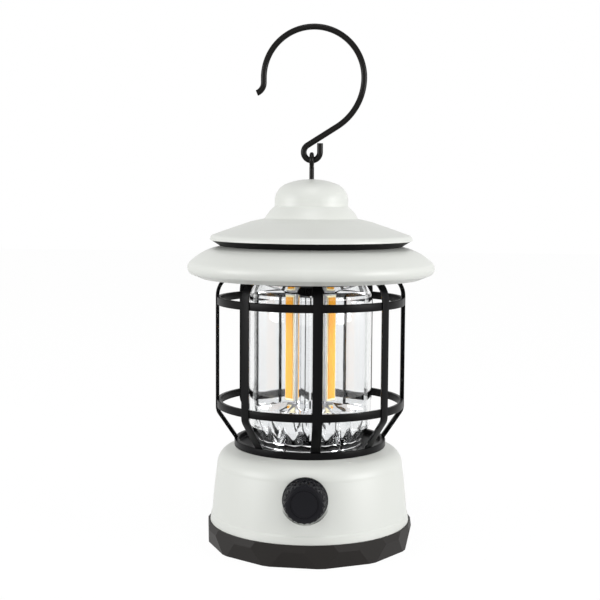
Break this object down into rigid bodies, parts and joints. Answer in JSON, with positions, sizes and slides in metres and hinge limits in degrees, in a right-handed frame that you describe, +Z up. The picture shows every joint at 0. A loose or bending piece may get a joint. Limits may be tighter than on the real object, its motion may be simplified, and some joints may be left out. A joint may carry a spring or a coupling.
{
  "type": "camping lantern",
  "caption": "Hanging or standing camping lantern: round base with a dimmer knob, black cage round a clear lens with light strips, tiered white shades and a swinging wire hook.",
  "frame": {"origin": "centre of the foot ring's lower face, on the surface that the lantern stands on", "axes": "+Z up along the lantern's axis, -Y towards the front with the dimmer knob"},
  "size_m": [0.1248, 0.1248, 0.2617],
  "materials": {
    "black_rubber": "satin, moulded",
    "black_plastic": "satin",
    "steel": "zinc plated",
    "white_shell": "satin, pale warm grey white",
    "cell_wrap": "heat shrink sleeve over a metal can",
    "nickel": "nickel plated",
    "board_green": "solder mask",
    "white_rubber": "matte",
    "knob_black": "satin",
    "cage_black": "semi gloss black",
    "clear_lens": "clear",
    "mirror_chrome": "vacuum plated",
    "led_substrate": "pale yellow",
    "led_phosphor": "orange phosphor gel",
    "wire_red": "insulation",
    "hook_black": "blackened steel wire"
  },
  "bodies": {
    "lantern": {"foot_ring": "black_rubber", "bottom_cover": "black_plastic", "cover_screws": "steel", "base_housing": "white_shell", "battery_cradle": "black_plastic", "battery_cells": "cell_wrap", "battery_contacts": "nickel", "control_board": "board_green", "board_screws": "steel", "charging_socket": "nickel", "flap_anchor": "white_rubber", "dimmer_body": "nickel", "dimmer_washer": "steel", "dimmer_nut": "steel", "cage_collar": "cage_black", "collar_screws": "steel", "cage_ribs": "cage_black", "lower_cage_ring": "cage_black", "upper_cage_ring": "cage_black", "cage_crown": "black_plastic", "crown_screws": "steel", "lens": "clear_lens", "lower_lens_seal": "black_rubber", "upper_lens_seal": "black_rubber", "lower_reflector": "mirror_chrome", "upper_reflector": "mirror_chrome", "reflector_core": "mirror_chrome", "led_boards": "led_substrate", "led_strips": "led_phosphor", "led_harness": "wire_red", "lower_shade": "white_shell", "shade_spacer": "black_plastic", "upper_shade": "white_shell", "eye_washer": "steel"},
    "knob": {"dimmer_knob": "knob_black", "dimmer_shaft": "steel"},
    "flap": {"port_flap": "white_rubber"},
    "eye": {"eye_bolt": "hook_black", "eye_nut": "steel"},
    "hook": {"lantern_hook": "hook_black"}
  },
  "joints": [
    {"name": "knob_turn", "type": "hinge", "parent": "lantern", "child": "knob", "pos_m": [0, -0.0527, 0.0327], "axis": [0, 1, 0], "range_deg": [0, 270]},
    {"name": "flap_hinge", "type": "hinge", "parent": "lantern", "child": "flap", "pos_m": [0.00688, 0.0471, 0.0364], "axis": [0, 0, -1], "range_deg": [0, 140]},
    {"name": "eye_swivel", "type": "hinge", "parent": "lantern", "child": "eye", "pos_m": [0, 0, 0.1846], "axis": [0, 0, 1], "continuous": true},
    {"name": "hook_fold", "type": "hinge", "parent": "eye", "child": "hook", "pos_m": [0, 0, 0.194], "axis": [1, 0, 0], "range_deg": [-112, 112]}
  ]
}
